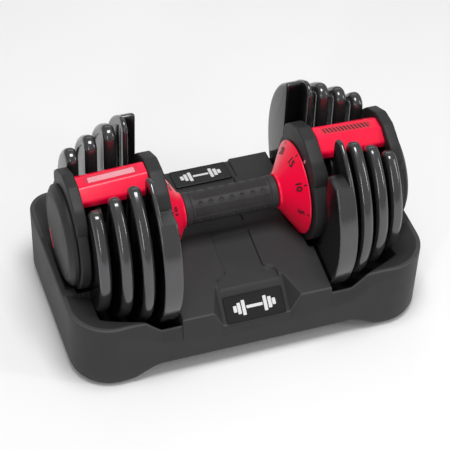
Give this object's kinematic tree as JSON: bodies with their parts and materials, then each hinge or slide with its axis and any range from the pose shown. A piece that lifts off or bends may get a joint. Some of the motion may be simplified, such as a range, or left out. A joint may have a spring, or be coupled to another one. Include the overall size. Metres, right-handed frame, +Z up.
{
  "type": "adjustable dumbbell",
  "caption": "Twist-handle adjustable dumbbell with slotted steel plates, red cone dials and bridges, docked in a dark plastic storage tray.",
  "frame": {"origin": "centre of the bounding box on the floor plane, under the middle of the tray", "axes": "+X along the handle, -Y the front, +Z up"},
  "size_m": [0.392, 0.2228, 0.2282],
  "materials": {
    "tray_plastic": "fine moulded texture, satin",
    "housing_plastic": "fine moulded texture, satin",
    "red_plastic": "glossy crimson",
    "pink_mark": "printed pink",
    "plate_steel": "black recesses, polished dark grey rims",
    "grip_rubber": "matte, dimpled and knurled",
    "shaft_steel": "turned",
    "selector_nylon": "moulded nylon",
    "bush_brass": "machined",
    "foot_rubber": "matte",
    "badge_black": "satin black"
  },
  "bodies": {
    "tray": {"tray_shell": "tray_plastic", "badge_front": "badge_black", "badge_rear": "badge_black", "peg_left": "tray_plastic", "foot_front_left": "foot_rubber", "foot_rear_left": "foot_rubber", "peg_right": "tray_plastic", "foot_front_right": "foot_rubber", "foot_rear_right": "foot_rubber"},
    "dumbbell": {"inner_housing_left": "housing_plastic", "outer_housing_left": "housing_plastic", "bridge_left": "red_plastic", "bridge_label_left": "badge_black", "pointer_left": "pink_mark", "end_cap_left": "housing_plastic", "cap_accent_left": "red_plastic", "inner_bush_left": "bush_brass", "outer_bush_left": "bush_brass", "pin_spring_left": "shaft_steel", "tie_bolt_left_front": "shaft_steel", "tie_bolt_left_rear": "shaft_steel", "inner_housing_right": "housing_plastic", "outer_housing_right": "housing_plastic", "bridge_right": "red_plastic", "bridge_label_right": "badge_black", "pointer_right": "pink_mark", "end_cap_right": "housing_plastic", "cap_accent_right": "red_plastic", "inner_bush_right": "bush_brass", "outer_bush_right": "bush_brass", "pin_spring_right": "shaft_steel", "tie_bolt_right_front": "shaft_steel", "tie_bolt_right_rear": "shaft_steel"},
    "handle": {"grip_sleeve": "grip_rubber", "handle_shaft": "shaft_steel", "dial_left": "red_plastic", "shaft_nut_left": "shaft_steel", "selector_disc_left_1": "selector_nylon", "selector_disc_left_2": "selector_nylon", "selector_disc_left_3": "selector_nylon", "selector_disc_left_4": "selector_nylon", "dial_right": "red_plastic", "shaft_nut_right": "shaft_steel", "selector_disc_right_1": "selector_nylon", "selector_disc_right_2": "selector_nylon", "selector_disc_right_3": "selector_nylon", "selector_disc_right_4": "selector_nylon"},
    "plate_left_1": {"plate_left_1": "plate_steel"},
    "plate_left_2": {"plate_left_2": "plate_steel"},
    "plate_left_3": {"plate_left_3": "plate_steel"},
    "plate_left_4": {"plate_left_4": "plate_steel"},
    "lock_pin_left": {"lock_pin_left": "shaft_steel"},
    "plate_right_1": {"plate_right_1": "plate_steel"},
    "plate_right_2": {"plate_right_2": "plate_steel"},
    "plate_right_3": {"plate_right_3": "plate_steel"},
    "plate_right_4": {"plate_right_4": "plate_steel"},
    "lock_pin_right": {"lock_pin_right": "shaft_steel"}
  },
  "joints": [
    {"name": "dumbbell_lift", "type": "slide", "parent": "tray", "child": "dumbbell", "axis": [0, 0, 1], "range_m": [0, 0.15]},
    {"name": "handle_turn", "type": "hinge", "parent": "dumbbell", "child": "handle", "pos_m": [0, 0, 0.129], "axis": [1, 0, 0], "range_deg": [-150, 150]},
    {"name": "plate_left_1_lift", "type": "slide", "parent": "tray", "child": "plate_left_1", "axis": [0, 0, 1], "range_m": [0, 0.15]},
    {"name": "plate_left_2_lift", "type": "slide", "parent": "tray", "child": "plate_left_2", "axis": [0, 0, 1], "range_m": [0, 0.15]},
    {"name": "plate_left_3_lift", "type": "slide", "parent": "tray", "child": "plate_left_3", "axis": [0, 0, 1], "range_m": [0, 0.15]},
    {"name": "plate_left_4_lift", "type": "slide", "parent": "tray", "child": "plate_left_4", "axis": [0, 0, 1], "range_m": [0, 0.15]},
    {"name": "lock_pin_left_slide", "type": "slide", "parent": "dumbbell", "child": "lock_pin_left", "axis": [0, 0, 1], "range_m": [-0.004, 0], "deforming": ["pin_spring_left"]},
    {"name": "plate_right_1_lift", "type": "slide", "parent": "tray", "child": "plate_right_1", "axis": [0, 0, 1], "range_m": [0, 0.15]},
    {"name": "plate_right_2_lift", "type": "slide", "parent": "tray", "child": "plate_right_2", "axis": [0, 0, 1], "range_m": [0, 0.15]},
    {"name": "plate_right_3_lift", "type": "slide", "parent": "tray", "child": "plate_right_3", "axis": [0, 0, 1], "range_m": [0, 0.15]},
    {"name": "plate_right_4_lift", "type": "slide", "parent": "tray", "child": "plate_right_4", "axis": [0, 0, 1], "range_m": [0, 0.15]},
    {"name": "lock_pin_right_slide", "type": "slide", "parent": "dumbbell", "child": "lock_pin_right", "axis": [0, 0, 1], "range_m": [-0.004, 0], "deforming": ["pin_spring_right"]}
  ],
  "couplings": [
    {"joint": "plate_left_1_lift", "follows": "dumbbell_lift", "ratio": 1},
    {"joint": "plate_left_2_lift", "follows": "dumbbell_lift", "ratio": 1},
    {"joint": "plate_left_3_lift", "follows": "dumbbell_lift", "ratio": 1},
    {"joint": "plate_left_4_lift", "follows": "dumbbell_lift", "ratio": 1},
    {"joint": "lock_pin_left_slide", "follows": "dumbbell_lift", "ratio": -0.026667},
    {"joint": "plate_right_1_lift", "follows": "dumbbell_lift", "ratio": 1},
    {"joint": "plate_right_2_lift", "follows": "dumbbell_lift", "ratio": 1},
    {"joint": "plate_right_3_lift", "follows": "dumbbell_lift", "ratio": 1},
    {"joint": "plate_right_4_lift", "follows": "dumbbell_lift", "ratio": 1},
    {"joint": "lock_pin_right_slide", "follows": "dumbbell_lift", "ratio": -0.026667}
  ]
}
